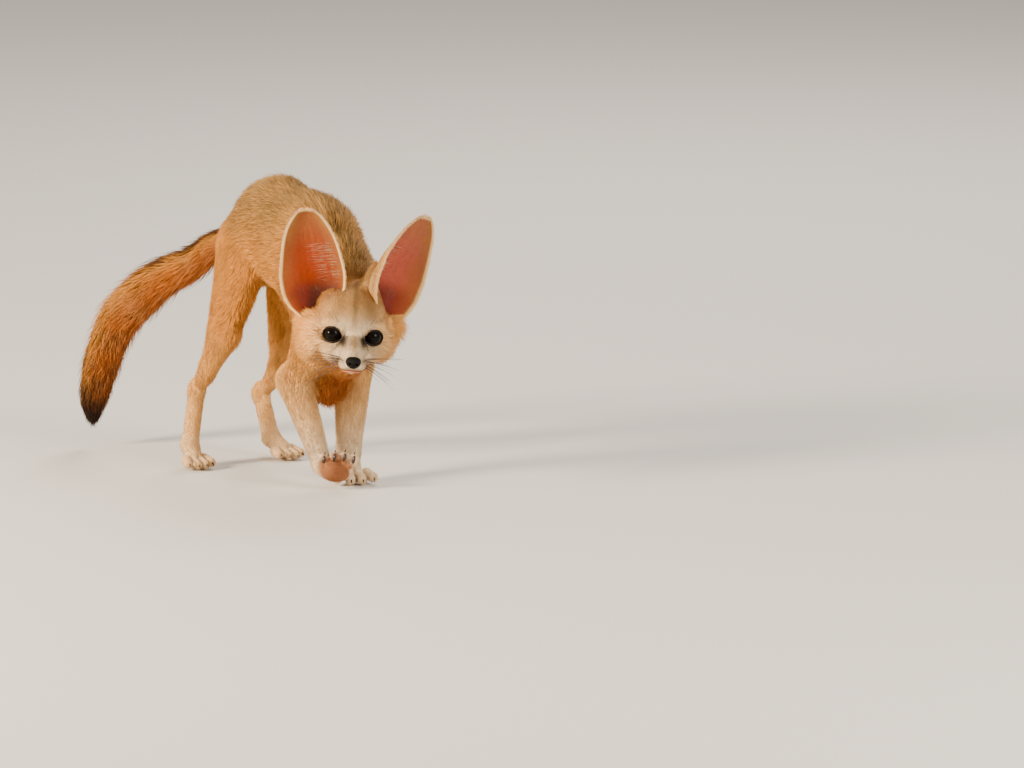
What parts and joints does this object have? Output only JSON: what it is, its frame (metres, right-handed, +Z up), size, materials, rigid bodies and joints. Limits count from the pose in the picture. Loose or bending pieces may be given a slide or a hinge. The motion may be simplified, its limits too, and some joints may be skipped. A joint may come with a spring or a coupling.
{
  "type": "fennec fox",
  "caption": "Life-size fennec fox stepping forward with its head low, one fore paw raised, large upright ears and a long drooping tail.",
  "frame": {"origin": "middle of the footprint of the bounding box, on the floor", "axes": "+Z up, -Y the way the fox walks, +X its left side"},
  "size_m": [0.1643, 0.3826, 0.2573],
  "materials": {
    "coat_back": "soft grizzled fur, sandy grey-buff",
    "coat_side": "soft fur, sandy cream",
    "coat_legs": "short fur, cream",
    "coat_face": "short fur, whitish with a buff forehead",
    "coat_tail": "long fur, rusty orange with dark hairs",
    "tail_tip": "long fur, nearly black",
    "ear_skin": "thin pinkish orange skin with pale hairs",
    "eye": "wet, nearly black",
    "nose": "moist black skin",
    "claw": "dark horn",
    "whisker": "dark bristle"
  },
  "bodies": {
    "root": {"torso": "coat_back", "neck": "coat_back", "head": "coat_face", "ear_right": "ear_skin", "ear_left": "ear_skin", "eye_right": "eye", "eye_left": "eye", "nose": "nose", "thigh_right": "coat_side", "thigh_left": "coat_side", "shank_right": "coat_legs", "shank_left": "coat_legs", "hind_foot_right": "coat_legs", "hind_foot_left": "coat_legs", "upper_arm_right": "coat_side", "upper_arm_left": "coat_side", "forearm_right": "coat_legs", "forearm_left": "coat_legs", "fore_paw_right": "coat_legs", "fore_paw_left": "coat_legs", "tail_root": "coat_tail", "tail_middle": "coat_tail", "tail_tip": "tail_tip"}
  },
  "joints": []
}
